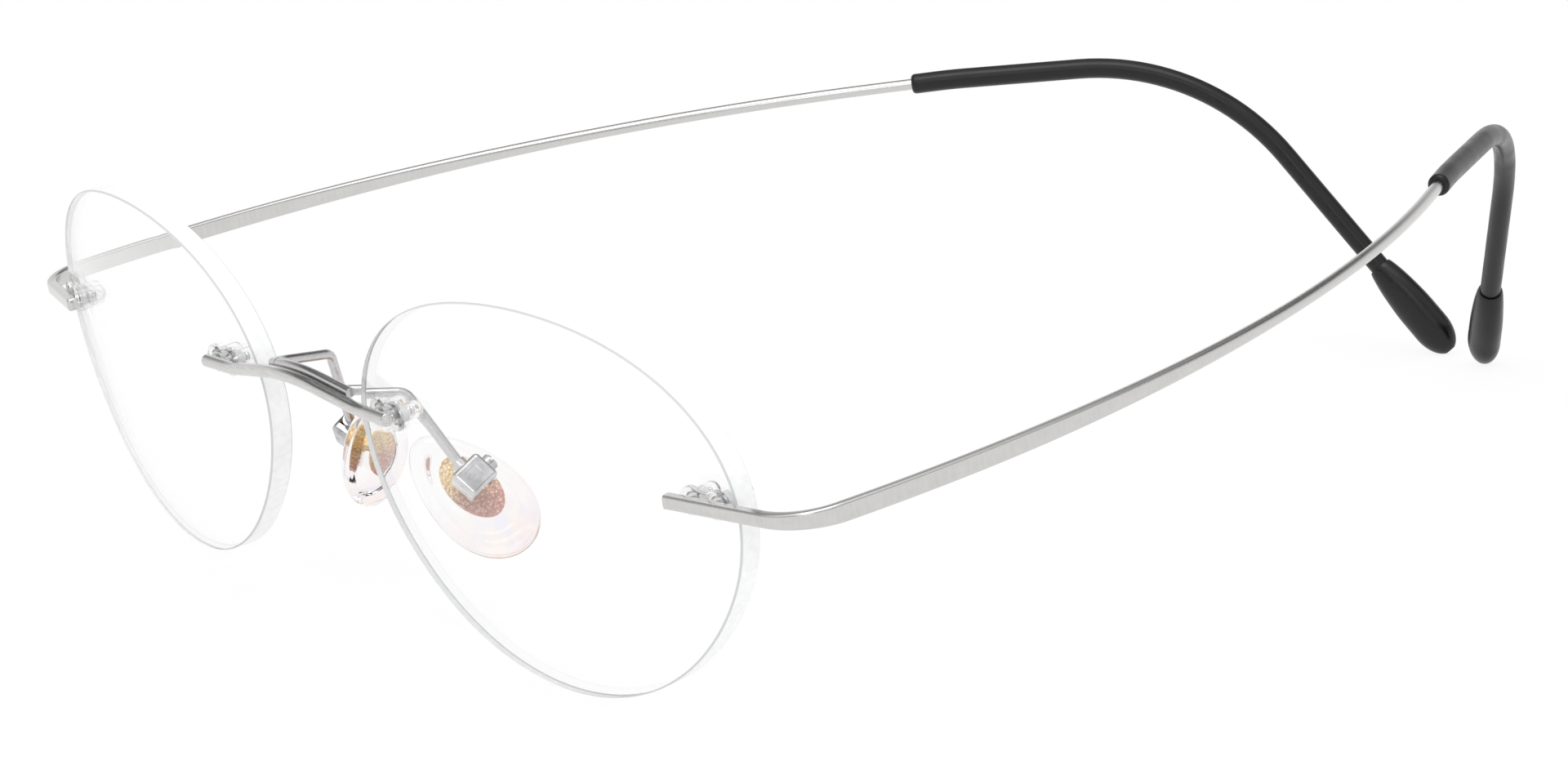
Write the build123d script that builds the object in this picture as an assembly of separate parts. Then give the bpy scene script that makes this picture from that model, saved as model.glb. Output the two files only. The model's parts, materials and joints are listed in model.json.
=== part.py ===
from build123d import *
import os
from math import asin, cos, degrees, pi, radians, sin, sqrt

# Rimless eyeglasses: two drilled lenses, a bridge bar and two one-piece sprung
# temples, all held by metal pins in clear plastic plugs.
#
# The spectacles are drawn in a front frame: +X to the wearer's left, +Y towards
# the ears, +Z up, with the lenses upright and the origin midway between the two
# lens centres. At the end the whole assembly is set down on its lenses and ear
# tips, with +Z up from the table and the origin in the middle of its base.
# Millimetres and degrees throughout.

# ---- Lenses
lens_width = 50.0
lens_height = 33.6
lens_shoulder = 0.033          # how far the outline swells at its upper corners and foot
lens_gap = 18.5                # nose gap between the two lenses
lens_thickness = 2.0
lens_front_radius = 149.0
lens_wrap = 6.4                # each lens turned back towards its ear
lens_edge_bevel = 0.14

# ---- Double plugs, two pins in each
pin_diameter = 0.72
pin_pitch = 2.6
pin_length = 3.3
plug_diameter = 1.5
plug_stand_out = 1.5           # behind the lens
plug_flange_diameter = 2.5
plug_flange_waist = 1.7
plug_flange_thickness = 0.5
bridge_mount_inset = 5.7       # lens edge to the middle of the bridge's two pins
bridge_mount_height = 4.45     # above the lens centre
temple_mount_inset = 2.9       # lens edge to the middle of the temple's two pins
temple_mount_height = 2.5

# ---- Bridge bar
bar_diameter = 1.15
bar_end_overhang = 0.35        # past the inner pin
bar_end_round = 0.16
bar_straight = 4.8             # flat run of each end along its lens
arch_rise = 1.68               # meeting point of the two slopes above the bar ends
arch_forward = 0.5             # and ahead of them
arch_crown_radius = 30.0
arch_shoulder_radius = 12.0
pin_socket_depth = 0.4

# ---- Nose pad arms
arm_wire_diameter = 0.9
arm_weld_reach = 8.8           # past the middle of the bar
arm_weld_stagger = 0.47        # one wire above the bar's centre line, one below
arm_leave_x = 5.0              # where the wire leaves the bar
arm_leave_radius = 2.6
arm_knee_x = 7.5
arm_knee_y = 5.6
arm_knee_z = 3.6
arm_knee_stagger = 0.8         # share of the stagger that is left at the knee
arm_knee_radius = 1.3
arm_collar_diameter = 1.35
arm_collar_length = 0.55

# ---- Pad boxes and their screws
box_x = 11.45
box_y = 8.15
box_z = -4.7
box_long = 2.7                 # along the pad
box_wide = 3.0                 # across the pad
box_deep = 2.5                 # away from the pad
box_round = 0.42
box_slot = 1.3
box_window_size = 1.25
box_window_depth = 0.22
screw_diameter = 1.0
screw_head_diameter = 1.5
screw_head_height = 0.6
screw_slot_width = 0.24
screw_slot_depth = 0.22

# ---- Nose pads
pad_splay = 19.4               # front edges closer together
pad_slope = 30.3               # tops closer together
pad_roll = 31.0                # leaning back as it goes down
pad_length = 13.3
pad_width = 7.7
pad_thickness = 2.3
pad_round = 1.02
pad_taper = 0.22               # top narrower than the foot
pad_drop = 3.0                 # middle of the pad below its screw
pad_shift_long = 0.5
pad_shift_wide = 0.5
pad_plate_length = 6.6
pad_plate_width = 4.0
pad_plate_thickness = 0.4
pad_plate_sink = 0.25          # behind the middle of the pad
pad_tab_thickness = 1.1
pad_tab_radius = 0.85
pad_stem_width = 1.5

# ---- Temples
temple_tip_overhang = 2.2      # past the inner pin
temple_bar_height = 1.2
temple_bar_thickness = 1.0
temple_bar_straight = 5.4      # outer pin to the start of the bend
temple_bar_fall = 3.5          # slope below level, as are the falls that follow
temple_bend_radius = 5.3
temple_bend_end = 86.8         # heading after the bend, 90 is straight back
strip_length = 83.0            # from the bend to where the strip has become a wire
strip_fall = 0.9               # just behind the bend
strip_end_fall = 2.3
strip_height = 1.65            # at its tallest
strip_thickness = 0.8
strip_full_length = 12.0       # from the bend to where it starts to taper
strip_taper_length = 48.0
strip_edge_round = 0.26
strip_section_gap = 6.0        # between the sections that the strip is drawn through
wire_diameter = 1.1
lead_run = 8.4                 # the wire's straight runs: on from the strip
crest_run = 25.5               # over the ear
crest_fall = 5.0
drop_run = 38.3                # down behind the ear, to the end of the tip
drop_turn = 31.2               # turned in from the crest
drop_fall = 53.3
lead_bend_radius = 60.0
ear_bend_radius = 24.5
tip_spacing = 4.6              # between the ends of the two temples

# ---- Ear sleeves and tips
sleeve_lead = 4.4              # strip to the start of the sleeve
sleeve_diameter = 2.0
sleeve_end_round = 0.42
tip_length = 11.0
tip_neck = 2.55
tip_deep = 3.05                # front to back
tip_wide = 4.05
tip_socket_depth = 1.6
wire_end_cover = 4.5           # rubber past the end of the wire

# ---- Fits
seat_gap = 0.02                # between flat faces that meet
lens_seat_gap = 0.07           # a flat flange on the curved lens
plug_fit = 0.01                # radial, plug in its lens hole
pin_fit = 0.01                 # radial, pin in its plug and in its bar
rubber_fit = 0.02              # radial, rubber on wire
screw_fit = 0.02               # radial, screw in its box
pivot_fit = 0.04               # radial, pad tab on its screw
tab_side_gap = 0.1
tip_gap_inside = 0.05          # plate in its pad


# ---- Lens outline and surface
half_width = lens_width / 2
lens_centre_x = (lens_gap / 2) + half_width * cos(radians(lens_wrap))
outline_top = 1 - lens_shoulder
outline_foot = 1 + lens_shoulder
half_height = lens_height / (outline_top + outline_foot)


def outline_point(angle):
    swell = 1 + lens_shoulder * sin(3 * angle)
    return Vector(half_width * cos(angle) * swell, 0, half_height * sin(angle) * swell)


def front_sag(x, z):
    # depth of the front surface behind its highest point
    return lens_front_radius - sqrt(lens_front_radius**2 - x * x - z * z)


def mount_plane(x, z):
    # on the lens front: x runs along the lens, z points back through it
    lean = asin(x / lens_front_radius)
    along = (cos(lean), sin(lean), 0)
    back = (-sin(lean), cos(lean), 0)
    return Plane(origin=(x, front_sag(x, z), z), x_dir=along, z_dir=back)


lens_place = Location((lens_centre_x, 0, 0), (0, 0, lens_wrap))
bridge_mount_x = -half_width + bridge_mount_inset
temple_mount_x = half_width - temple_mount_inset
bridge_mount = lens_place * mount_plane(bridge_mount_x, bridge_mount_height).location
temple_mount = lens_place * mount_plane(temple_mount_x, temple_mount_height).location
temple_mount = temple_mount * Rot(0, 0, temple_bar_fall)
pin_places = [-pin_pitch / 2, pin_pitch / 2]


def rod(radius, low, high):
    # a cylinder along local z from low to high
    return Pos(0, 0, low) * Cylinder(radius, high - low, align=(Align.CENTER, Align.CENTER, Align.MIN))


def other_side(shape):
    solids = [solid.mirror(Plane.YZ) for solid in shape.solids()]
    return solids[0] if len(solids) == 1 else Compound(solids)


def cut(body, tools):
    # what is left of a solid after each tool is taken away
    left_over = body.solids()[0]
    for tool in tools:
        for solid in tool.solids():
            left_over = (left_over - solid).solids().sort_by(SortBy.VOLUME)[-1]
    return left_over


# ---- Double plug: flange, two blind sockets and their domed ends
plug_radius = plug_diameter / 2
plug_back = lens_thickness + plug_stand_out
flange_front = -lens_seat_gap - plug_flange_thickness


def make_plug():
    body = Pos(0, 0, flange_front) * Box(
        pin_pitch, plug_flange_waist, plug_flange_thickness, align=(Align.CENTER, Align.CENTER, Align.MIN)
    )
    for x in pin_places:
        body += Pos(x, 0, 0) * rod(plug_flange_diameter / 2, flange_front, -lens_seat_gap)
    rims = body.faces().sort_by(Axis.Z)[0].edges()
    body = fillet(rims, plug_flange_thickness * 0.35)
    for x in pin_places:
        tube = rod(plug_radius, flange_front + plug_flange_thickness / 2, plug_back)
        tube = fillet(tube.edges().sort_by(Axis.Z)[-1], plug_radius * 0.8)
        body += Pos(x, 0, 0) * tube
    bore = rod(pin_diameter / 2 + pin_fit, flange_front, pin_back + seat_gap)
    return cut(body, [Pos(x, 0, 0) * bore for x in pin_places])


# ---- Pins: from their sockets in the bar into the plug
bar_radius = bar_diameter / 2
bar_offset = flange_front - seat_gap - bar_radius
temple_bar_offset = flange_front - seat_gap - temple_bar_thickness / 2
pin_back = flange_front + pin_length


def make_pins(back_face):
    # back_face is the depth of the bar face that the pins leave
    return [
        Pos(x, 0, 0) * chamfer(
            rod(pin_diameter / 2, back_face - pin_socket_depth, pin_back).edges().sort_by(Axis.Z)[-1],
            pin_diameter * 0.15,
        )
        for x in pin_places
    ]


bar_back_face = bar_offset + bar_radius
temple_back_face = temple_bar_offset + temple_bar_thickness / 2
bridge_pins = [bridge_mount * pin for pin in make_pins(bar_back_face)]
temple_pins = [temple_mount * pin for pin in make_pins(temple_back_face)]
bridge_plug = bridge_mount * make_plug()
temple_plug = temple_mount * make_plug()


def pin_sockets(place, back_face):
    return [
        place * Pos(x, 0, 0) * rod(pin_diameter / 2 + pin_fit, back_face - pin_socket_depth, pin_back)
        for x in pin_places
    ]


# ---- Lens: a meniscus cut to the outline and drilled for the plugs
outline = Spline([outline_point(2 * pi * i / 36) for i in range(36)], periodic=True)
blank = extrude(make_face(outline), amount=14, dir=(0, 1, 0), both=True)
shell = Sphere(lens_front_radius) - Sphere(lens_front_radius - lens_thickness)
lens = blank & (Pos(0, lens_front_radius, 0) * shell)
lens = lens.solids().sort_by(Axis.Y)[0]
lens = chamfer(lens.edges(), lens_edge_bevel)
lens = lens_place * lens
drill = rod(plug_radius + plug_fit, -lens_thickness, plug_back)
lens = cut(lens, [place * Pos(x, 0, 0) * drill for place in (bridge_mount, temple_mount) for x in pin_places])

# ---- Bridge bar: straight along each lens, arched over the nose
bar_end_x = pin_pitch / 2 + bar_end_overhang
end_point = (bridge_mount * Pos(bar_end_x, 0, bar_offset)).position
shoulder_point = (bridge_mount * Pos(bar_end_x - bar_straight, 0, bar_offset)).position
crown_point = Vector(0, shoulder_point.Y - arch_forward, shoulder_point.Z + arch_rise)


def flip(v):
    return Vector(-v.X, v.Y, v.Z)


def swept_rod(points, radii, radius):
    # a round rod along straight runs joined by arcs
    line = FilletPolyline(points, radius=radii)
    section = Plane(origin=line @ 0, z_dir=line % 0) * Circle(radius)
    return sweep(section, path=line).solids()[0]


bridge_bar = swept_rod(
    [flip(end_point), flip(shoulder_point), crown_point, shoulder_point, end_point],
    [arch_shoulder_radius, arch_crown_radius, arch_shoulder_radius],
    bar_radius,
)
bar_ends = bridge_bar.faces().sort_by(Axis.X)
bridge_bar = fillet(bar_ends[0].edges() + bar_ends[-1].edges(), bar_end_round)
bar_sockets = pin_sockets(bridge_mount, bar_back_face)
bridge_bar = cut(bridge_bar, bar_sockets + [other_side(socket) for socket in bar_sockets])

# ---- Nose pad: its plane, screw axis and swing
outward = Vector(
    cos(radians(pad_slope)) * cos(radians(pad_splay)),
    -cos(radians(pad_slope)) * sin(radians(pad_splay)),
    sin(radians(pad_slope)),
)
level = Vector(sin(radians(pad_splay)), cos(radians(pad_splay)), 0)
upslope = outward.cross(level)
across = level * cos(radians(pad_roll)) + upslope * sin(radians(pad_roll))
screw_centre = Vector(box_x, box_y, box_z)
pad_frame = Plane(origin=screw_centre, x_dir=across, z_dir=outward)
pad_up = pad_frame.y_dir


def pad_outline(length, width, taper, count):
    points = []
    for i in range(count):
        turn = 2 * pi * i / count
        points.append((width / 2 * cos(turn) * (1 - taper * sin(turn)), length / 2 * sin(turn)))
    return make_face(Spline(points, periodic=True))


def in_pad(shape):
    return pad_frame.location * shape


pad_middle = -pad_drop
plate_low = pad_middle - pad_plate_sink - pad_plate_thickness
plate_face = Ellipse(pad_plate_width / 2, pad_plate_length / 2)
cushion = Pos(-pad_shift_wide, -pad_shift_long, pad_middle - pad_thickness / 2) * extrude(
    pad_outline(pad_length, pad_width, pad_taper, 24), pad_thickness
)
cushion = fillet(cushion.edges(), pad_round)
plate = Pos(0, 0, plate_low) * extrude(plate_face, pad_plate_thickness)
stem = Pos(0, 0, plate_low + pad_plate_thickness / 2) * Box(
    pad_tab_thickness, pad_stem_width, -plate_low - pad_plate_thickness / 2,
    align=(Align.CENTER, Align.CENTER, Align.MIN),
)
tab = Rot(0, 90, 0) * Cylinder(pad_tab_radius, pad_tab_thickness)
core = plate + stem + tab
core = cut(core, [Rot(0, 90, 0) * Cylinder(screw_diameter / 2 + pivot_fit, pad_tab_thickness + 1)])
plate_room = Pos(0, 0, plate_low - tip_gap_inside) * extrude(
    Ellipse(pad_plate_width / 2 + tip_gap_inside, pad_plate_length / 2 + tip_gap_inside),
    pad_plate_thickness + 2 * tip_gap_inside,
)
stem_room = Pos(0, 0, plate_low) * Box(
    pad_tab_thickness + 2 * tip_gap_inside, pad_stem_width + 2 * tip_gap_inside, -plate_low,
    align=(Align.CENTER, Align.CENTER, Align.MIN),
)
cushion = cut(cushion, [plate_room, stem_room])
nose_pad = in_pad(cushion)
pad_core = in_pad(core)

# ---- Pad box: rounded block with a slot for the tab, a window and a cross bore
box_block = fillet(Box(box_wide, box_long, box_deep).edges(), box_round)
slot_depth = box_deep / 2 + pad_tab_radius + tab_side_gap
on_floor = (Align.CENTER, Align.CENTER, Align.MIN)
tab_slot = Pos(0, 0, -box_deep / 2) * Box(box_slot, box_long + 1, slot_depth, align=on_floor)
window = Pos(0, 0, box_deep / 2 - box_window_depth) * Box(
    box_window_size, box_window_size, box_window_depth + 1, align=on_floor
)
cross_bore = Rot(0, 90, 0) * Cylinder(screw_diameter / 2 + screw_fit, box_wide + 2)
pad_box = in_pad(cut(box_block, [tab_slot, window, cross_bore]))

# ---- Pad screw: shank through both cheeks, slotted head outside
head_low = box_wide / 2 + seat_gap
screw_shape = Rot(0, 90, 0) * rod(screw_diameter / 2, -box_wide / 2, head_low)
head = chamfer(
    rod(screw_head_diameter / 2, head_low, head_low + screw_head_height).edges().sort_by(Axis.Z)[-1],
    screw_head_height * 0.2,
)
driver_slot = Pos(0, 0, head_low + screw_head_height - screw_slot_depth) * Box(
    screw_head_diameter + 1, screw_slot_width, 1, align=on_floor
)
head = cut(head, [driver_slot])
pad_screw = in_pad(screw_shape + Rot(0, 90, 0) * head)

# ---- Pad arms: welded along the back of the bar, back past the lens, down to the box
wire_radius = arm_wire_diameter / 2
weld_touch = bar_radius + wire_radius + seat_gap
weld_back = sqrt(weld_touch**2 - arm_weld_stagger**2)
collar = in_pad(Rot(-90, 0, 0) * rod(arm_collar_diameter / 2, 0, arm_collar_length))
collar = collar.moved(Pos(*(pad_up * (box_long / 2 + seat_gap))))
collar_middle = screw_centre + pad_up * (box_long / 2 + seat_gap + arm_collar_length / 2)


def bar_run(x):
    # on the straight run of the arch at x, either side of the crown
    return crown_point + (shoulder_point - crown_point) * (abs(x) / shoulder_point.X)


def make_arm(stagger):
    # for the +X pad: along the bar from the far side, then back and down
    rise = Vector(0, weld_back, stagger)
    knee = Vector(arm_knee_x, arm_knee_y, arm_knee_z + stagger * arm_knee_stagger)
    points = [
        flip(bar_run(arm_weld_reach)) + rise,
        crown_point + rise,
        bar_run(arm_leave_x) + rise,
        knee,
        collar_middle,
    ]
    radii = [arch_crown_radius, arm_leave_radius, arm_knee_radius]
    wire = swept_rod(points, radii, wire_radius)
    return (wire + collar).solids()[0]


pad_arm_left = make_arm(-arm_weld_stagger)
pad_arm_right = other_side(make_arm(arm_weld_stagger))

# ---- Temple line: heading and slope along its length, added up in small steps
mount_heading = lens_wrap + degrees(asin(temple_mount_x / lens_front_radius))
temple_start = (temple_mount * Pos(-pin_pitch / 2 - temple_tip_overhang, 0, temple_bar_offset)).position
bend_start = temple_tip_overhang + pin_pitch + temple_bar_straight
bend_end = bend_start + temple_bend_radius * radians(temple_bend_end - mount_heading)
wire_start = bend_end + strip_length
line_steps = 400
step = wire_start / line_steps


def between(at, low, high, first, last):
    share = min(max((at - low) / (high - low), 0), 1)
    return first + (last - first) * share


def direction(heading, fall):
    # heading turns from +X to +Y, fall is the slope below level
    turn = radians(heading)
    drop = radians(fall)
    return Vector(cos(turn) * cos(drop), sin(turn) * cos(drop), -sin(drop))


def heading_at(s, side_turn):
    if s <= bend_end:
        return between(s, bend_start, bend_end, mount_heading, temple_bend_end)
    return between(s, bend_end, wire_start, temple_bend_end, temple_bend_end + side_turn)


def fall_at(s):
    if s <= bend_end:
        return between(s, bend_start, bend_end, temple_bar_fall, strip_fall)
    return between(s, bend_end, wire_start, strip_fall, strip_end_fall)


def strip_line(side_turn):
    points = [temple_start]
    for i in range(line_steps):
        middle = (i + 0.5) * step
        points.append(points[-1] + direction(heading_at(middle, side_turn), fall_at(middle)) * step)
    return points


def wire_corners(side_turn, start):
    # where the wire's runs meet: lead, crest and drop
    crest_heading = temple_bend_end + side_turn
    lead_end = start + direction(crest_heading, strip_end_fall) * lead_run
    crest_end = lead_end + direction(crest_heading, crest_fall) * crest_run
    drop_end = crest_end + direction(crest_heading + drop_turn, drop_fall) * drop_run
    return [start, lead_end, crest_end, drop_end]


# the side curves in just enough to leave the two ends their spacing
low_turn, high_turn = 0.0, 80.0
for _ in range(24):
    side_turn = (low_turn + high_turn) / 2
    line_points = strip_line(side_turn)
    corners = wire_corners(side_turn, line_points[-1])
    if corners[-1].X > tip_spacing / 2:
        low_turn = side_turn
    else:
        high_turn = side_turn


def direction_at(s):
    return direction(heading_at(s, side_turn), fall_at(s))


def point_at(s):
    whole = min(int(s / step), line_steps)
    return line_points[whole] + direction_at(s) * (s - whole * step)


def plane_at(s):
    turn = radians(heading_at(s, side_turn))
    return Plane(origin=point_at(s), x_dir=(sin(turn), -cos(turn), 0), z_dir=direction_at(s))


taper_start = bend_end + strip_full_length
taper_end = taper_start + strip_taper_length


def strip_size(s):
    # thickness, height and corner radius of the temple
    if s <= bend_end:
        thick = between(s, bend_start, bend_end, temple_bar_thickness, strip_thickness)
        high = between(s, bend_start, bend_end, temple_bar_height, strip_height)
        return thick, high, strip_edge_round
    share = between(s, taper_start, taper_end, 0, 1)
    ease = share * share * (3 - 2 * share)
    thick = strip_thickness + (wire_diameter - strip_thickness) * ease
    high = strip_height + (wire_diameter - strip_height) * ease
    return thick, high, strip_edge_round + (wire_diameter * 0.49 - strip_edge_round) * ease


def stations(first, last, gap):
    count = max(2, round((last - first) / gap) + 1)
    return [first + (last - first) * i / (count - 1) for i in range(count)]


def strip_section(s):
    thick, high, corner = strip_size(s)
    return plane_at(s) * RectangleRounded(thick, high, corner)


# ---- Temple end bar: straight, across the front of the lens
end_bar = loft([strip_section(0), strip_section(bend_start)])
end_bar = chamfer(end_bar.faces().sort_by(lambda f: (f.center() - point_at(0)).length)[0].edges(), 0.18)
end_bar = cut(end_bar, pin_sockets(temple_mount, temple_back_face))

# ---- Temple bend: round the lens edge, the part that springs
temple_bend = loft([strip_section(s) for s in stations(bend_start, bend_end, temple_bend_radius * 0.25)])

# ---- Temple wire: straight runs and the arcs between them
run_radii = [lead_bend_radius, ear_bend_radius]
lead_way = (corners[1] - corners[0]).normalized()
drop_way = (corners[3] - corners[2]).normalized()
line_end = corners[3]


def along_wire(first, last, radius):
    # round along the wire's line, with its two ends moved along their runs
    points = [corners[0] + lead_way * first] + corners[1:-1] + [line_end - drop_way * last]
    return swept_rod(points, run_radii, radius)


# ---- Temple arm: strip along the side, wire round the ear
strip = loft([strip_section(s) for s in stations(bend_end, wire_start, strip_section_gap)])
wire = along_wire(0, wire_end_cover, wire_diameter / 2)
temple_arm = (strip + wire).solids()[0]

# ---- Ear sleeve: rubber tube over the wire
sleeve_stop = tip_length - tip_socket_depth
sleeve = along_wire(sleeve_lead, sleeve_stop, sleeve_diameter / 2)
sleeve_front = corners[0] + lead_way * sleeve_lead
front_face = sleeve.faces().sort_by(lambda f: (f.center() - sleeve_front).length)[0]
sleeve = fillet(front_face.edges(), sleeve_end_round)
sleeve_bore = along_wire(sleeve_lead - 1, sleeve_stop - 1, wire_diameter / 2 + rubber_fit)
ear_sleeve = cut(sleeve, [sleeve_bore])


# ---- Ear tip: flattened rubber paddle with a socket for the sleeve and the wire
tip_turn = radians(temple_bend_end + side_turn + drop_turn)
tip_place_end = Plane(
    origin=line_end - drop_way * tip_length, x_dir=(sin(tip_turn), -cos(tip_turn), 0), z_dir=drop_way
)


def tip_scale(share):
    # full in the middle, drawn in at the neck and rounded at the end
    if share < 0.12:
        return sqrt(1 - (1 - share / 0.12) ** 2)
    if share > 0.72:
        return sqrt(1 - ((share - 0.72) / 0.28) ** 2)
    return 1


def tip_section(share):
    body = tip_scale(share)
    fill = sin(pi * min(share / 0.55, 1) / 2)
    deep = tip_neck + (tip_deep - tip_neck) * fill
    wide = tip_neck + (tip_wide - tip_neck) * fill
    neck = sleeve_diameter + 0.3
    if share < 0.12:
        deep = neck + (deep - neck) * body
        wide = neck + (wide - neck) * body
    else:
        deep *= body
        wide *= body
    return Pos(0, 0, tip_length * share) * Ellipse(deep / 2, wide / 2)


tip_shares = [0, 0.02, 0.06, 0.12, 0.3, 0.5, 0.66, 0.76, 0.85, 0.92, 0.965, 0.99]
tip_shape = loft([tip_section(share) for share in tip_shares])
sleeve_room = rod(sleeve_diameter / 2 + rubber_fit, -1, tip_socket_depth + seat_gap)
wire_room = rod(wire_diameter / 2 + rubber_fit, 0, tip_length - wire_end_cover + seat_gap)
ear_tip = tip_place_end.location * cut(tip_shape, [sleeve_room, wire_room])

left = {
    "lens_left": lens,
    "bridge_plug_left": bridge_plug,
    "bridge_pins_left": Compound(bridge_pins),
    "temple_plug_left": temple_plug,
    "temple_pins_left": Compound(temple_pins),
    "temple_end_bar_left": end_bar,
    "temple_bend_left": temple_bend,
    "temple_arm_left": temple_arm,
    "ear_sleeve_left": ear_sleeve,
    "ear_tip_left": ear_tip,
    "pad_box_left": pad_box,
    "pad_screw_left": pad_screw,
    "pad_core_left": pad_core,
    "nose_pad_left": nose_pad,
}
parts = {"bridge_bar": bridge_bar, "pad_arm_left": pad_arm_left, "pad_arm_right": pad_arm_right}
for name, shape in left.items():
    parts[name] = shape
    parts[name.replace("_left", "_right")] = other_side(shape)

# ---- Set down on the lenses and the ear tips
def lowest(shape, pitch):
    return (Rot(pitch, 0, 0) * shape).bounding_box().min.Z


low_pitch, high_pitch = -5.0, 30.0
for _ in range(28):
    pitch = (low_pitch + high_pitch) / 2
    if lowest(lens, pitch) > lowest(ear_tip, pitch):
        low_pitch = pitch
    else:
        high_pitch = pitch
standing = {name: Rot(pitch, 0, 0) * shape for name, shape in parts.items()}
box = Compound([s for shape in standing.values() for s in shape.solids()]).bounding_box()
shift = Pos(0, -(box.min.Y + box.max.Y) / 2, -box.min.Z)
settle = shift * Rot(pitch, 0, 0)

os.makedirs("parts", exist_ok=True)
for name, shape in standing.items():
    placed = shift * shape
    solids = placed.solids()
    placed = solids[0] if len(solids) == 1 else Compound(solids)
    export_step(placed, "parts/" + name + ".step")

hinge_point = point_at((bend_start + bend_end) / 2)
joint_spot = settle * Pos(*hinge_point)
joint_axis = Plane(settle).z_dir
swing_spot = settle * pad_frame.location
print("pitch", round(pitch, 4), "size", box.size)
print("temple hinge", joint_spot.position, "axis", joint_axis)
print("pad screw", swing_spot.position, "axis", Plane(swing_spot).x_dir)
print("bend start", (settle * Pos(*point_at(bend_start))).position, "end", (settle * Pos(*point_at(bend_end))).position)
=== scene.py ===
import json
import math

import bpy
import numpy as np
from mathutils import Matrix, Vector


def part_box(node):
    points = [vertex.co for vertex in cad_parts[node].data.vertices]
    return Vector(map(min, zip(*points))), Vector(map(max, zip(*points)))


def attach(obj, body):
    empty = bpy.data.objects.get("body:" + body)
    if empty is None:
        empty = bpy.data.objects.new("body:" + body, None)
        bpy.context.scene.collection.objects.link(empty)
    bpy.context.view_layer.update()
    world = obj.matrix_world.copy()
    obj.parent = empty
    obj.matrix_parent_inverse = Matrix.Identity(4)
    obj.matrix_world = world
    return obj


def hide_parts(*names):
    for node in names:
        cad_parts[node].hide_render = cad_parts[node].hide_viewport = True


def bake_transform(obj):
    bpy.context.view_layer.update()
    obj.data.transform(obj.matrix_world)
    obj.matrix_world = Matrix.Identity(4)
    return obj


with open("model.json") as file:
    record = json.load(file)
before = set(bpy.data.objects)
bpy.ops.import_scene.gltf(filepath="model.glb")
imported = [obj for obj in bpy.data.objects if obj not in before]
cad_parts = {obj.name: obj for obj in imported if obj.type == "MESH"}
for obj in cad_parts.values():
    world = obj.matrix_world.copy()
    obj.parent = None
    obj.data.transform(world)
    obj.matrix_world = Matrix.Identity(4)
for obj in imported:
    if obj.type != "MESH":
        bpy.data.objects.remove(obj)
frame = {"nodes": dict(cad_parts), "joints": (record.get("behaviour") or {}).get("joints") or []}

nodes = frame["nodes"]
scene = bpy.context.scene
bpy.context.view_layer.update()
sides = {"left": 1, "right": -1}    # +X is the wearer's left
print("frame loaded:", len(nodes), "nodes")


# small helpers

def hexColour(text):
    # sRGB hex to the linear numbers that a shader wants
    srgb = np.array([int(text[i:i + 2], 16) for i in (1, 3, 5)]) / 255
    linear = np.where(srgb <= 0.04045, srgb / 12.92, ((srgb + 0.055) / 1.055) ** 2.4)
    return (*linear.tolist(), 1.0)


def addNode(tree, kind, settings=None, links=None):
    # settings are the node's own or its sockets' values, links feed its sockets
    node = tree.nodes.new(kind)
    for name, value in (settings or {}).items():
        if isinstance(name, str) and hasattr(node, name):
            setattr(node, name, value)
        else:
            node.inputs[name].default_value = value
    for name, source in (links or {}).items():
        tree.links.new(source, node.inputs[name])
    return node


def newMaterial(name, settings):
    # a material that holds one Principled shader and its output
    material = bpy.data.materials.new(name)
    material.use_nodes = True
    tree = material.node_tree
    tree.nodes.clear()
    shader = addNode(tree, "ShaderNodeBsdfPrincipled", settings)
    addNode(tree, "ShaderNodeOutputMaterial", None, {"Surface": shader.outputs[0]})
    return material, tree, shader


def colourRamp(tree, factor, stops):
    ramp = addNode(tree, "ShaderNodeValToRGB", None, {"Fac": factor})
    elements = ramp.color_ramp.elements
    elements[0].position, elements[0].color = stops[0][0], hexColour(stops[0][1])
    elements[1].position, elements[1].color = stops[-1][0], hexColour(stops[-1][1])
    for place, colour in stops[1:-1]:
        elements.new(place).color = hexColour(colour)
    return ramp.outputs["Color"]


def remap(tree, value, low, high, newLow, newHigh):
    node = addNode(tree, "ShaderNodeMapRange", {"From Min": low, "From Max": high,
                   "To Min": newLow, "To Max": newHigh}, {"Value": value})
    return node.outputs["Result"]


def letLampsThrough(material):
    # so that a clear piece doesn't shade what is behind it, shadow rays pass straight on
    tree = material.node_tree
    output = next(n for n in tree.nodes if n.type == "OUTPUT_MATERIAL")
    shader = output.inputs["Surface"].links[0].from_socket
    path = addNode(tree, "ShaderNodeLightPath")
    through = addNode(tree, "ShaderNodeBsdfTransparent")
    mix = addNode(tree, "ShaderNodeMixShader", None,
                  {0: path.outputs["Is Shadow Ray"], 1: shader, 2: through.outputs[0]})
    tree.links.new(mix.outputs[0], output.inputs["Surface"])


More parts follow.
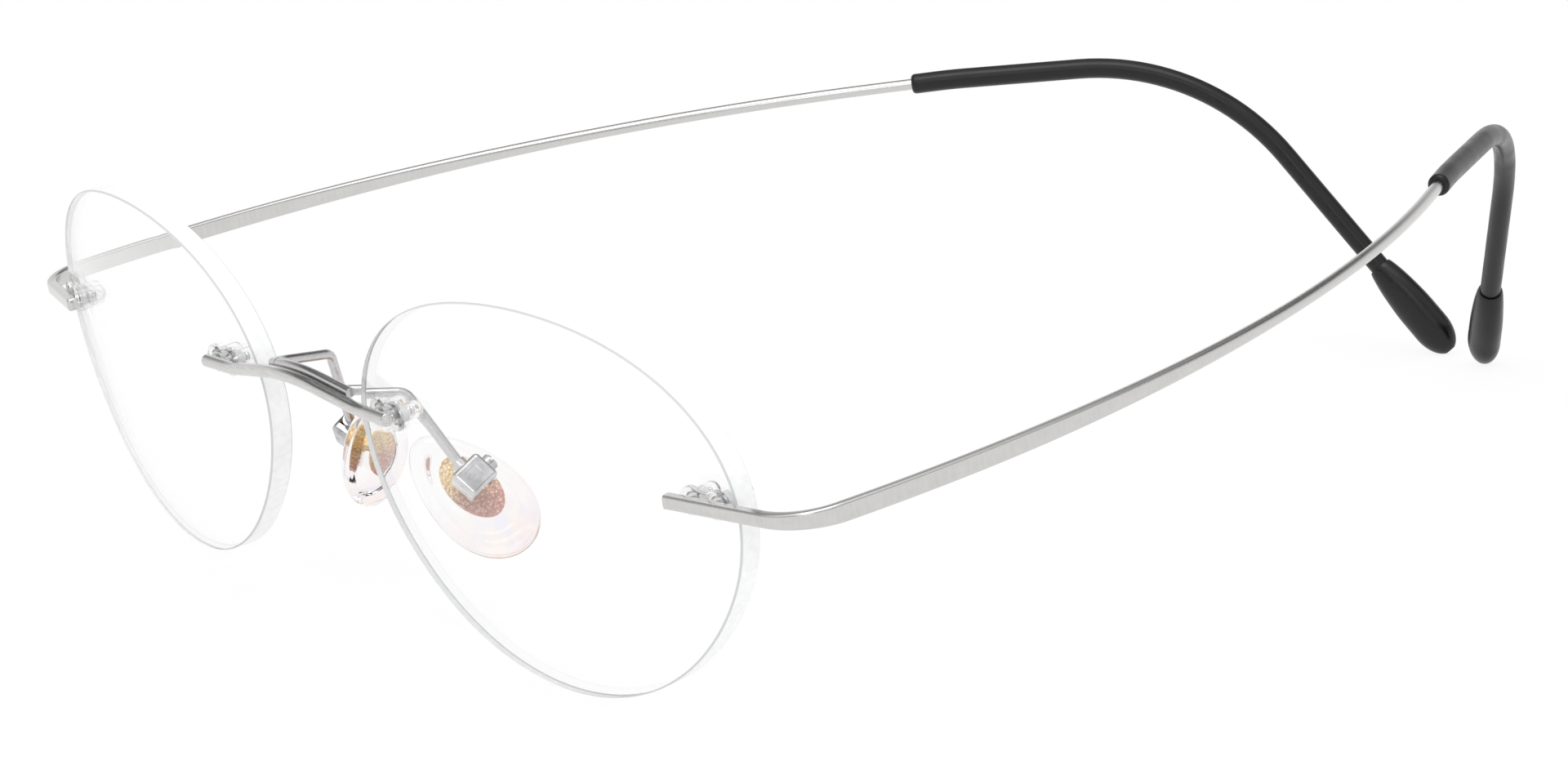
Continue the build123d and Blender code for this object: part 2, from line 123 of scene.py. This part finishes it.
def gridMesh(name, points, uvSize=None):
    # points is (rows, around, 3): quads between rows, and a fan of triangles at each end.
    # uvSize is the length along the rows and the length around them, in metres
    rows, around = points.shape[:2]
    verts = points.reshape(-1, 3)
    r, a = np.meshgrid(np.arange(rows - 1), np.arange(around), indexing="ij")
    nextA = (a + 1) % around
    here, ahead = r * around, (r + 1) * around
    quads = np.stack([here + a, here + nextA, ahead + nextA, ahead + a], -1)
    capStart = len(verts)
    verts = np.vstack([verts, points[0].mean(0), points[-1].mean(0)])
    ring = np.arange(around)
    after = (ring + 1) % around
    last = (rows - 1) * around
    startFan = np.stack([after, ring, np.full(around, capStart)], -1)
    endFan = np.stack([last + ring, last + after, np.full(around, capStart + 1)], -1)
    faces = quads.reshape(-1, 4).tolist() + startFan.tolist() + endFan.tolist()
    mesh = bpy.data.meshes.new(name)
    mesh.from_pydata(verts.tolist(), [], faces)
    mesh.polygons.foreach_set("use_smooth", np.ones(len(faces), bool))
    if uvSize is not None:
        u = np.stack([r, r, r + 1, r + 1], -1).reshape(-1) / (rows - 1) * uvSize[0]
        v = np.stack([a, a + 1, a + 1, a], -1).reshape(-1) / around * uvSize[1]
        quadUv = np.stack([u, v], -1)
        fanUv = np.zeros((around * 6, 2))
        layer = mesh.uv_layers.new(name="surface")
        layer.data.foreach_set("uv", np.vstack([quadUv, fanUv]).astype(np.float32).ravel())
    mesh.update()
    piece = bpy.data.objects.new(name, mesh)
    scene.collection.objects.link(piece)
    return piece


def mirrored(points, side):
    # the other side's copy, its rings reversed so that the faces still point outwards
    if side > 0:
        return points
    return (points * np.array([-1, 1, 1]))[:, ::-1]


def jointNamed(name):
    return next(j for j in frame["joints"] if j["name"] == name)


# camera

cameraView = {
    "place": (0.392337, -0.263615, 0.122298),
    "azimuth": 57.658, "elevation": 13.281, "roll": -4.020,     # degrees
    "lens": 120.70, "sensor": 36,                               # mm
}
azimuth, elevation, roll = (
    math.radians(cameraView[k]) for k in ("azimuth", "elevation", "roll"))
back = Vector((math.sin(azimuth) * math.cos(elevation),
               -math.cos(azimuth) * math.cos(elevation),
               math.sin(elevation)))
level = (-back).cross(Vector((0, 0, 1))).normalized()
upright = level.cross(-back)
right = level * math.cos(roll) + upright * math.sin(roll)
up = upright * math.cos(roll) - level * math.sin(roll)
camera = bpy.data.objects.new("camera", bpy.data.cameras.new("camera"))
camera.data.lens = cameraView["lens"]
camera.data.sensor_width = cameraView["sensor"]
camera.data.clip_start, camera.data.clip_end = 0.01, 20
axes = Matrix((right, up, back)).transposed().to_4x4()
camera.matrix_world = Matrix.Translation(cameraView["place"]) @ axes
scene.collection.objects.link(camera)
scene.camera = camera
print("camera placed")


# studio: white floor, soft boxes, plain room

studio = {
    "floorRadius": 4.0, "floorSides": 64,
    "floorColour": "#F4F4F4",
    "floorWhite": 0.9,              # share of plain white that the eye, metal and glass see
    "nearWay": (0.84, -0.54, 0),    # level way from the spectacles to the viewer's side
    "nearWall": [(0.0, "#FFFFFF"), (0.56, "#F4F4F4"), (0.60, "#D8D8D8"), (0.635, "#4A4A4A"),
                 (0.66, "#5A5A5A"), (0.70, "#F0F0F0"), (1.0, "#FFFFFF")],
    "farWall": [(0.0, "#FFFFFF"), (0.62, "#F8F8F8"), (0.72, "#C8C8C8"), (0.78, "#4A4A4A"),
                (0.84, "#8A8A8A"), (1.0, "#FFFFFF")],
    "fill": 0.92,
}


def makeFloor():
    # one many-sided face. Light falls on it as on paper, and rays from the eye, metal
    # and glass find it nearly white
    turn = np.linspace(0, 2 * np.pi, studio["floorSides"], endpoint=False)
    rim = np.stack([np.cos(turn), np.sin(turn), np.zeros_like(turn)], -1) * studio["floorRadius"]
    mesh = bpy.data.meshes.new("floor")
    mesh.from_pydata(rim.tolist(), [], [list(range(studio["floorSides"]))])
    floor = bpy.data.objects.new("floor", mesh)
    scene.collection.objects.link(floor)
    material = bpy.data.materials.new("white paper sweep")
    material.use_nodes = True
    tree = material.node_tree
    tree.nodes.clear()
    path = addNode(tree, "ShaderNodeLightPath")
    paper = addNode(tree, "ShaderNodeBsdfDiffuse",
                    {"Color": hexColour(studio["floorColour"])})
    white = addNode(tree, "ShaderNodeEmission", {"Color": (1, 1, 1, 1), "Strength": 1.0})
    seen = addNode(tree, "ShaderNodeMath", {"operation": "MAXIMUM"},
                   {0: path.outputs["Is Camera Ray"], 1: path.outputs["Is Glossy Ray"]})
    seenToo = addNode(tree, "ShaderNodeMath", {"operation": "MAXIMUM"},
                      {0: seen.outputs[0], 1: path.outputs["Is Transmission Ray"]})
    share = addNode(tree, "ShaderNodeMath", {"operation": "MULTIPLY", 1: studio["floorWhite"]},
                    {0: seenToo.outputs[0]})
    mix = addNode(tree, "ShaderNodeMixShader", None,
                  {0: share.outputs[0], 1: paper.outputs[0], 2: white.outputs[0]})
    addNode(tree, "ShaderNodeOutputMaterial", None, {"Surface": mix.outputs[0]})
    floor.data.materials.append(material)


def softBox(name, place, target, size, radiance):
    # a flat lamp whose own brightness is radiance: watts = radiance x pi x area
    data = bpy.data.lights.new(name, "AREA")
    data.shape = "RECTANGLE"
    data.size, data.size_y = size
    data.energy = radiance * math.pi * size[0] * size[1]
    lamp = bpy.data.objects.new(name, data)
    aim = Vector(target) - Vector(place)
    lamp.rotation_mode = "QUATERNION"
    lamp.rotation_quaternion = aim.to_track_quat("-Z", "Y")
    lamp.location = place
    scene.collection.objects.link(lamp)


def makeRoom():
    # the world: white to the eye and through glass, plain fill on matt surfaces, and in
    # reflections two walls, each with a dark band that gives metal its contrast
    world = bpy.data.worlds.new("room")
    scene.world = world
    world.use_nodes = True
    tree = world.node_tree
    tree.nodes.clear()
    path = addNode(tree, "ShaderNodeLightPath")
    where = addNode(tree, "ShaderNodeTexCoord")
    parts = addNode(tree, "ShaderNodeSeparateXYZ", None, {0: where.outputs["Generated"]})
    front = addNode(tree, "ShaderNodeVectorMath",
                    {"operation": "DOT_PRODUCT", 1: studio["nearWay"]},
                    {0: where.outputs["Generated"]})
    height = remap(tree, parts.outputs["Z"], -1, 1, 0, 1)
    near = colourRamp(tree, height, studio["nearWall"])
    far = colourRamp(tree, height, studio["farWall"])
    half = remap(tree, front.outputs["Value"], -0.2, 0.2, 0, 1)
    walls = addNode(tree, "ShaderNodeMix", {"data_type": "RGBA"}, {0: half, 6: far, 7: near})
    shade = addNode(tree, "ShaderNodeBackground", {"Strength": 1.0}, {"Color": walls.outputs[2]})
    plain = addNode(tree, "ShaderNodeBackground",
                    {"Color": (1, 1, 1, 1), "Strength": studio["fill"]})
    white = addNode(tree, "ShaderNodeBackground", {"Color": (1, 1, 1, 1), "Strength": 1.0})
    gloss = addNode(tree, "ShaderNodeMixShader", None,
                    {0: path.outputs["Is Glossy Ray"], 1: plain.outputs[0], 2: shade.outputs[0]})
    clear = addNode(tree, "ShaderNodeMath", {"operation": "MAXIMUM"},
                    {0: path.outputs["Is Camera Ray"], 1: path.outputs["Is Transmission Ray"]})
    mix = addNode(tree, "ShaderNodeMixShader", None,
                  {0: clear.outputs[0], 1: gloss.outputs[0], 2: white.outputs[0]})
    addNode(tree, "ShaderNodeOutputWorld", None, {"Surface": mix.outputs[0]})


makeFloor()
makeRoom()
softBox("overhead box", (0.25, -0.15, 0.9), (0, 0, 0), (0.55, 0.55), 2.4)
softBox("front box", (0.9, -0.75, 0.55), (0, 0, 0.02), (0.35, 0.5), 1.5)
print("studio ready")


# finishes

def brushedTitanium(name, colour, rough, alongX=True):
    # drawn and satin-brushed titanium wire: soft long highlights with fine streaks that
    # follow the length, about 0.05 mm apart, drawn at 0.12 mm so that they show
    material, tree, shader = newMaterial(name, {"Metallic": 1.0, "Roughness": rough})
    where = addNode(tree, "ShaderNodeTexCoord")
    stretch = (400, 9000, 9000) if alongX else (9000, 400, 9000)
    place = addNode(tree, "ShaderNodeMapping", {"Scale": stretch},
                    {"Vector": where.outputs["Object"]})
    streak = addNode(tree, "ShaderNodeTexNoise", {"Scale": 1.0, "Detail": 3.0},
                     {"Vector": place.outputs[0]})
    haze = addNode(tree, "ShaderNodeTexNoise", {"Scale": 260.0, "Detail": 2.0},
                   {"Vector": where.outputs["Object"]})
    tone = colourRamp(tree, streak.outputs["Fac"], [(0.3, colour[0]), (0.7, colour[1])])
    tree.links.new(tone, shader.inputs["Base Color"])
    both = addNode(tree, "ShaderNodeMath", {"operation": "ADD"},
                   {0: streak.outputs["Fac"], 1: haze.outputs["Fac"]})
    tree.links.new(remap(tree, both.outputs[0], 0.6, 1.4, rough - 0.06, rough + 0.08),
                   shader.inputs["Roughness"])
    bump = addNode(tree, "ShaderNodeBump", {"Strength": 0.05, "Distance": 0.00001},
                   {"Height": streak.outputs["Fac"]})
    tree.links.new(bump.outputs[0], shader.inputs["Normal"])
    return material


def stripTitanium(name):
    # pressed and brushed titanium: fine streaks along the strip, about 0.1 mm apart, and
    # a 0.3 mm grain, both laid on the strip's own map of metres
    material, tree, shader = newMaterial(name, {"Metallic": 1.0, "Roughness": 0.3})
    where = addNode(tree, "ShaderNodeUVMap", {"uv_map": "surface"})
    place = addNode(tree, "ShaderNodeMapping", {"Scale": (350, 9000, 1)},
                    {"Vector": where.outputs[0]})
    streak = addNode(tree, "ShaderNodeTexNoise",
                     {"noise_dimensions": "2D", "Scale": 1.0, "Detail": 4.0},
                     {"Vector": place.outputs[0]})
    grain = addNode(tree, "ShaderNodeTexNoise",
                    {"noise_dimensions": "2D", "Scale": 3200.0, "Detail": 2.0},
                    {"Vector": where.outputs[0]})
    both = addNode(tree, "ShaderNodeMath", {"operation": "ADD"},
                   {0: streak.outputs["Fac"], 1: grain.outputs["Fac"]})
    tone = colourRamp(tree, remap(tree, both.outputs[0], 0.6, 1.4, 0, 1),
                      [(0.0, "#CAC9C8"), (1.0, "#D4D3D2")])
    tree.links.new(tone, shader.inputs["Base Color"])
    tree.links.new(remap(tree, both.outputs[0], 0.6, 1.4, 0.16, 0.26), shader.inputs["Roughness"])
    bump = addNode(tree, "ShaderNodeBump", {"Strength": 0.04, "Distance": 0.00001},
                   {"Height": both.outputs[0]})
    tree.links.new(bump.outputs[0], shader.inputs["Normal"])
    return material


def ringedSteel(name):
    # turned steel: bright, with a fine groove round it every 0.3 mm, and painted shade: each
    # groove's bottom is painted darker and each ridge lighter
    grooveSpacing = 0.0003
    perMetre = 2 * math.pi / grooveSpacing / 20     # this pattern repeats every 2 pi / 20
    material, tree, shader = newMaterial(name, {"Metallic": 1.0, "Roughness": 0.2})
    where = addNode(tree, "ShaderNodeTexCoord")
    groovesAndPaintedShade = addNode(tree, "ShaderNodeTexWave",
                      {"wave_type": "BANDS", "bands_direction": "Y",
                       "Scale": perMetre, "Distortion": 0.0},
                      {"Vector": where.outputs["Object"]})
    # painted shade and highlight: the colour darkens where each groove sinks and lightens on each
    # ridge
    tone = colourRamp(tree, groovesAndPaintedShade.outputs["Fac"], [(0.1, "#B2B3B5"), (0.7, "#E4E5E6")])
    tree.links.new(tone, shader.inputs["Base Color"])
    bump = addNode(tree, "ShaderNodeBump", {"Strength": 0.6, "Distance": 0.00005},
                   {"Height": groovesAndPaintedShade.outputs["Fac"]})
    tree.links.new(bump.outputs[0], shader.inputs["Normal"])
    return material


def polishedMetal(name, dark, pale, rough):
    # cast and tumble-polished pad boxes: bright, slightly uneven, like chrome plate
    material, tree, shader = newMaterial(name, {"Metallic": 1.0, "Roughness": rough})
    where = addNode(tree, "ShaderNodeTexCoord")
    cloud = addNode(tree, "ShaderNodeTexNoise", {"Scale": 900.0, "Detail": 3.0},
                    {"Vector": where.outputs["Object"]})
    tree.links.new(colourRamp(tree, cloud.outputs["Fac"], [(0.35, dark), (0.65, pale)]),
                   shader.inputs["Base Color"])
    tree.links.new(remap(tree, cloud.outputs["Fac"], 0.3, 0.7, rough - 0.04, rough + 0.08),
                   shader.inputs["Roughness"])
    bump = addNode(tree, "ShaderNodeBump", {"Strength": 0.25, "Distance": 0.00006},
                   {"Height": cloud.outputs["Fac"]})
    tree.links.new(bump.outputs[0], shader.inputs["Normal"])
    return material


def speckledPlate(name, gold, rose, axis, middle):
    # etched and lacquered plate: gold at one end, rose copper at the other, changing over
    # about 2 mm at the middle, with bright speckles
    speckSize = 0.00025
    material, tree, shader = newMaterial(name, {"Metallic": 0.75, "Roughness": 0.38})
    where = addNode(tree, "ShaderNodeTexCoord")
    along = addNode(tree, "ShaderNodeVectorMath", {"operation": "DOT_PRODUCT", 1: axis},
                    {0: where.outputs["Object"]})
    share = remap(tree, along.outputs["Value"], middle - 0.0012, middle + 0.0010, 0, 1)
    speck = addNode(tree, "ShaderNodeTexVoronoi", {"Scale": 1 / speckSize},
                    {"Vector": where.outputs["Object"]})
    goldTone = colourRamp(tree, speck.outputs["Distance"],
                          [(0.1, "#FFF3D6"), (0.5, gold), (0.9, "#C9A266")])
    roseTone = colourRamp(tree, speck.outputs["Distance"],
                          [(0.05, "#F2DCD4"), (0.4, rose), (0.9, "#A9786C")])
    mix = addNode(tree, "ShaderNodeMix", {"data_type": "RGBA"},
                  {0: share, 6: roseTone, 7: goldTone})
    tree.links.new(mix.outputs[2], shader.inputs["Base Color"])
    bump = addNode(tree, "ShaderNodeBump", {"Strength": 0.5, "Distance": 0.00008},
                   {"Height": speck.outputs["Distance"]})
    tree.links.new(bump.outputs[0], shader.inputs["Normal"])
    return material


lensWrap = 6.4      # degrees that each lens turns back from the middle


def groundLens(name, sign):
    # hard resin lens: clear polished faces, an edge ground matt that looks milky, and painted
    # shade at its bevels:
    # a flat pale grey line painted on them. The normal against the lens axis tells them apart
    wrap = math.radians(lensWrap) * sign
    axis = Matrix.Rotation(pitch, 3, "X") @ Vector((-math.sin(wrap), math.cos(wrap), 0))
    material, tree, matt = newMaterial(name, {"Roughness": 0.5, "IOR": 1.5})
    normal = addNode(tree, "ShaderNodeNewGeometry")
    across = addNode(tree, "ShaderNodeVectorMath", {"operation": "DOT_PRODUCT", 1: axis},
                     {0: normal.outputs["Normal"]})
    facing = addNode(tree, "ShaderNodeMath", {"operation": "ABSOLUTE"},
                     {0: across.outputs["Value"]})
    where = addNode(tree, "ShaderNodeTexCoord")
    grit = addNode(tree, "ShaderNodeTexNoise", {"Scale": 1500.0, "Detail": 3.0},
                   {"Vector": where.outputs["Object"]})
    cloud = addNode(tree, "ShaderNodeTexNoise", {"Scale": 120.0, "Detail": 2.0},
                    {"Vector": where.outputs["Object"]})
    mist = addNode(tree, "ShaderNodeMath", {"operation": "ADD"},
                   {0: grit.outputs["Fac"], 1: cloud.outputs["Fac"]})
    milk = colourRamp(tree, remap(tree, mist.outputs[0], 0.6, 1.4, 0, 1),
                      [(0.2, "#F3F4F4"), (0.8, "#FFFFFF")])
    tree.links.new(milk, matt.inputs["Base Color"])
    # painted shade: the clear bevels get an opaque pale grey line in place of the line that light
    # bent through them shows
    line = addNode(tree, "ShaderNodeBsdfDiffuse", {"Color": hexColour("#D2D4D4")})
    face = addNode(tree, "ShaderNodeBsdfPrincipled",
                   {"IOR": 1.5, "Roughness": 0.0, "Transmission Weight": 1.0,
                    "Base Color": (1, 1, 1, 1)})
    isEdge = remap(tree, facing.outputs[0], 0.5, 0.4, 0, 0.92)
    isFace = remap(tree, facing.outputs[0], 0.82, 0.88, 0, 1)
    rim = addNode(tree, "ShaderNodeMixShader", None,
                  {0: isEdge, 1: line.outputs[0], 2: matt.outputs[0]})
    output = next(n for n in tree.nodes if n.type == "OUTPUT_MATERIAL")
    mix = addNode(tree, "ShaderNodeMixShader", None,
                  {0: isFace, 1: rim.outputs[0], 2: face.outputs[0]})
    tree.links.new(mix.outputs[0], output.inputs["Surface"])
    letLampsThrough(material)
    return material


def clearPlastic(name, colour, rough, ior):
    # injection-moulded clear plastic: faint waviness from the mould, about 1.4 mm wide
    material, tree, shader = newMaterial(
        name, {"IOR": ior, "Roughness": rough, "Transmission Weight": 1.0,
               "Base Color": hexColour(colour)})
    where = addNode(tree, "ShaderNodeTexCoord")
    wave = addNode(tree, "ShaderNodeTexNoise", {"Scale": 700.0, "Detail": 2.0},
                   {"Vector": where.outputs["Object"]})
    bump = addNode(tree, "ShaderNodeBump", {"Strength": 0.15, "Distance": 0.00008},
                   {"Height": wave.outputs["Fac"]})
    tree.links.new(bump.outputs[0], shader.inputs["Normal"])
    letLampsThrough(material)
    return material


def blackRubber(name):
    # dip-moulded silicone rubber: near-black, soft wide gloss, faint moulding haze
    material, tree, shader = newMaterial(name, {"Roughness": 0.3, "Specular IOR Level": 0.4})
    where = addNode(tree, "ShaderNodeTexCoord")
    haze = addNode(tree, "ShaderNodeTexNoise", {"Scale": 350.0, "Detail": 4.0},
                   {"Vector": where.outputs["Object"]})
    tree.links.new(colourRamp(tree, haze.outputs["Fac"], [(0.3, "#070707"), (0.7, "#101010")]),
                   shader.inputs["Base Color"])
    tree.links.new(remap(tree, haze.outputs["Fac"], 0.3, 0.7, 0.24, 0.38),
                   shader.inputs["Roughness"])
    fine = addNode(tree, "ShaderNodeTexNoise", {"Scale": 4000.0, "Detail": 2.0},
                   {"Vector": where.outputs["Object"]})
    bump = addNode(tree, "ShaderNodeBump", {"Strength": 0.12, "Distance": 0.00003},
                   {"Height": fine.outputs["Fac"]})
    tree.links.new(bump.outputs[0], shader.inputs["Normal"])
    return material


def dress(node, material):
    # a CAD node keeps its mesh and gets one finish
    for slot in nodes[node].material_slots:
        slot.material = material


# where the upright spectacles stand

# they lean back, at rest on the lenses and the ear tips, so the hinge axis isn't upright
hinge = jointNamed("temple_spring_left")
hingePlace = np.array(hinge["pos_m"])
pitch = math.atan2(abs(hinge["axis"][1]), abs(hinge["axis"][2]))
lean = np.array(Matrix.Rotation(pitch, 3, "X"))

bar = brushedTitanium("satin titanium bar", ("#C6C5C4", "#DAD9D8"), 0.2)
wire = brushedTitanium("satin titanium wire", ("#BFBDBE", "#D2D0D1"), 0.18, False)
steel = ringedSteel("ringed steel pins")
plug = clearPlastic("clear plug plastic", "#FFFFFF", 0.22, 1.30)
rubber = blackRubber("black silicone rubber")
chrome = polishedMetal("polished pad box", "#A8A8AA", "#D0D0D2", 0.12)
plateAxis = Vector((0, -0.3, 0.95))     # along the plate, from its rose end to its gold end
dress("bridge_bar", bar)
for side, sign in sides.items():
    dress("pad_arm_" + side, wire)
    dress("lens_" + side, groundLens("clear lens " + side, sign))
    for place in ("bridge", "temple"):
        dress(f"{place}_pins_{side}", steel)
        dress(f"{place}_plug_{side}", plug)
    dress("ear_sleeve_" + side, rubber)
    dress("ear_tip_" + side, rubber)
    dress("pad_box_" + side, chrome)
    dress("pad_screw_" + side, chrome)
    low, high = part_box("pad_core_" + side)
    middle = plateAxis.dot((low + high) / 2)
    dress("pad_core_" + side, speckledPlate("speckled pad plate " + side,
                                            "#E6C58B", "#CB9484", plateAxis, middle))
print("materials on the CAD nodes")


# temples: one strip each, from its end across the lens to the wire in the sleeve

temple = {
    "endPastPins": 0.0048,      # strip end to the outer pin
    "straight": 0.0054,         # from there to the bend
    "bendRadius": 0.0053,
    "stripLength": 0.083,
    "wireRun": 0.0070,          # plain wire, its last part inside the sleeve
    # degrees from +X towards +Y, and degrees downwards: across the lens, after the
    # bend, and at the wire
    "headings": (14.930, 86.8, 126.234),
    "falls": (3.5, 0.9, 2.3),
    "thickness": (0.0010, 0.0008, 0.0011),      # bar, strip, wire
    "height": (0.0012, 0.00165, 0.0011),
    "corner": (0.00026, 0.00054),               # radius on bar and strip, and on the wire
    "taper": (0.012, 0.048),    # starts this far past the bend, and takes this long
    "endRound": 0.00018, "endShare": 0.7,       # the end starts at this share of its section
    "girth": 0.0045,            # length round the strip, for its surface map
    "rows": 420, "bendRows": 40, "cornerPoints": 9,
}


def templePoints():
    # the line is the running sum of unit steps whose heading and fall change evenly
    # between marks. The section is a rounded rectangle square to it, four corner centres
    # with a quarter circle each, and its sizes ease from bar to strip to wire. Gives the
    # points, the whole length, and where the bend starts and ends
    t = temple
    bendStart = t["endPastPins"] + t["straight"]
    bendEnd = bendStart + t["bendRadius"] * math.radians(t["headings"][1] - t["headings"][0])
    wireStart = bendEnd + t["stripLength"]
    end = wireStart + t["wireRun"]
    marks = [0, bendStart, bendEnd, wireStart]
    fine = np.linspace(0, end, 6001)
    middle = (fine[1:] + fine[:-1]) / 2

    def way(s):
        turn = np.radians(np.interp(s, marks, [t["headings"][0], *t["headings"]]))
        drop = np.radians(np.interp(s, marks, [t["falls"][0], *t["falls"]]))
        ahead = [np.cos(turn) * np.cos(drop), np.sin(turn) * np.cos(drop), -np.sin(drop)]
        return turn, np.stack(ahead, -1)

    line = np.vstack([np.zeros(3), np.cumsum(way(middle)[1] * (fine[1] - fine[0]), 0)])

    def onLine(s):
        return np.stack([np.interp(s, fine, line[:, i]) for i in range(3)], -1)

    def inFrame(points):
        return (points - onLine((bendStart + bendEnd) / 2)) @ lean.T + hingePlace

    endRows = [t["endRound"] * 4 / 9, t["endRound"]]
    s = np.sort(np.concatenate([np.linspace(0, end, t["rows"]),
                                np.linspace(bendStart, bendEnd, t["bendRows"]), endRows]))
    turn, ahead = way(s)
    outward = np.stack([np.sin(turn), -np.cos(turn), np.zeros_like(turn)], -1)
    above = np.cross(ahead, outward)
    share = np.clip((s - bendEnd - t["taper"][0]) / t["taper"][1], 0, 1)
    ease = share * share * (3 - 2 * share)
    thick, high = (
        np.interp(s, [bendStart, bendEnd], t[k][:2]) * (1 - ease) + t[k][2] * ease
        for k in ("thickness", "height"))
    corner = t["corner"][0] * (1 - ease) + t["corner"][1] * ease
    shrink = t["endShare"] + (1 - t["endShare"]) * np.clip(s / t["endRound"], 0, 1)
    quarter = np.linspace(0, 90, t["cornerPoints"])
    angle = np.radians(np.concatenate([quarter + q for q in (0, 90, 180, 270)]))
    signX = np.repeat([1, -1, -1, 1], t["cornerPoints"])
    signY = np.repeat([1, 1, -1, -1], t["cornerPoints"])
    across = signX * (thick / 2 - corner)[:, None] + corner[:, None] * np.cos(angle)
    tall = signY * (high / 2 - corner)[:, None] + corner[:, None] * np.sin(angle)
    across, tall = ((shrink[:, None] * part)[..., None] for part in (across, tall))
    points = onLine(s)[:, None] + outward[:, None] * across + above[:, None] * tall
    return inFrame(points), end, inFrame(onLine(bendStart)), inFrame(onLine(bendEnd))


strip, stripEnd, bendFrom, bendTo = templePoints()
stripMaterial = stripTitanium("brushed titanium strip")
for side, sign in sides.items():
    piece = gridMesh("temple_strip_" + side, mirrored(strip, sign),
                     uvSize=(stripEnd, temple["girth"]))
    piece.data.materials.append(stripMaterial)
    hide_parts("temple_end_bar_" + side, "temple_bend_" + side, "temple_arm_" + side)
    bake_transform(piece)
print("temples made")


# nose pads: clear silicone with a thick rolled rim

pad = {
    "splay": 19.4, "slope": 30.3, "roll": 31.0,     # how each pad is turned, degrees
    "length": 0.0133, "width": 0.0077, "taper": 0.22,
    "drop": 0.0030,                     # from the screw in to the middle of the pad
    "shift": (-0.0005, -0.0005),        # along its width and its length
    # share of the outline's size, and height in mm, from the middle of the arm side
    # over the rim to the middle of the nose side
    "profile": [(0, 0.50), (0.35, 0.50), (0.60, 0.52), (0.68, 0.66), (0.74, 0.95),
                (0.82, 1.12), (0.92, 0.95), (0.985, 0.45), (1.0, 0.0), (0.985, -0.45),
                (0.93, -0.86), (0.80, -1.08), (0.5, -1.13), (0, -1.13)],
    "rings": 120, "smoothings": 10, "around": 96,
}


def padPoints():
    # rings of the outline (an oval narrower at its top) scaled by the smoothed profile
    splay, slope, roll = (math.radians(pad[k]) for k in ("splay", "slope", "roll"))
    outward = np.array([math.cos(slope) * math.cos(splay),
                        -math.cos(slope) * math.sin(splay), math.sin(slope)])
    level = np.array([math.sin(splay), math.cos(splay), 0])
    across = level * math.cos(roll) + np.cross(outward, level) * math.sin(roll)
    upward = np.cross(outward, across)
    marks = np.array(pad["profile"])
    fine = np.linspace(0, len(marks) - 1, pad["rings"])
    share, height = (np.interp(fine, np.arange(len(marks)), marks[:, i]) for i in (0, 1))
    for _ in range(pad["smoothings"]):
        share[1:-1] = (share[:-2] + 2 * share[1:-1] + share[2:]) / 4
        height[1:-1] = (height[:-2] + 2 * height[1:-1] + height[2:]) / 4
    share = share[1:-1]
    height = height[1:-1] * 0.001
    turn = np.linspace(0, 2 * np.pi, pad["around"], endpoint=False)
    x = pad["width"] / 2 * np.cos(turn) * (1 - pad["taper"] * np.sin(turn))
    y = pad["length"] / 2 * np.sin(turn)
    flat = (share[:, None] * x + pad["shift"][0])[..., None] * across
    flat = flat + (share[:, None] * y + pad["shift"][1])[..., None] * upward
    points = flat + (height[:, None, None] - pad["drop"]) * outward
    return points[:, ::-1] @ lean.T + np.array(jointNamed("nose_pad_swing_left")["pos_m"])


def padSilicone(name, axis, middle):
    # moulded silicone: clear and smooth, tinted pale rose and lilac in its lower half
    material, tree, shader = newMaterial(
        name, {"IOR": 1.32, "Roughness": 0.03, "Transmission Weight": 1.0})
    where = addNode(tree, "ShaderNodeTexCoord")
    along = addNode(tree, "ShaderNodeVectorMath", {"operation": "DOT_PRODUCT", 1: axis},
                    {0: where.outputs["Object"]})
    low = remap(tree, along.outputs["Value"], middle + 0.001, middle - 0.006, 0, 1)
    wave = addNode(tree, "ShaderNodeTexNoise", {"Scale": 420.0, "Detail": 2.0},
                   {"Vector": where.outputs["Object"]})
    tints = colourRamp(tree, wave.outputs["Fac"],
                       [(0.35, "#F7DFDD"), (0.5, "#FBEFE6"), (0.65, "#E9E2F2")])
    clear = addNode(tree, "ShaderNodeMix", {"data_type": "RGBA", 6: hexColour("#FCFBFB")},
                    {0: low, 7: tints})
    tree.links.new(clear.outputs[2], shader.inputs["Base Color"])
    bump = addNode(tree, "ShaderNodeBump", {"Strength": 0.1, "Distance": 0.00006},
                   {"Height": wave.outputs["Fac"]})
    tree.links.new(bump.outputs[0], shader.inputs["Normal"])
    letLampsThrough(material)
    return material


padAxis = Vector((0, -0.35, 0.94))      # up the pad
for side, sign in sides.items():
    piece = gridMesh("pad_cushion_" + side, mirrored(padPoints(), sign))
    low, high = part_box("nose_pad_" + side)
    silicone = padSilicone("rimmed pad silicone " + side, padAxis, padAxis.dot((low + high) / 2))
    piece.data.materials.append(silicone)
    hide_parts("nose_pad_" + side)
    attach(piece, "nose_pad_" + side)
print("nose pads made")

scene.view_settings.view_transform = "Standard"
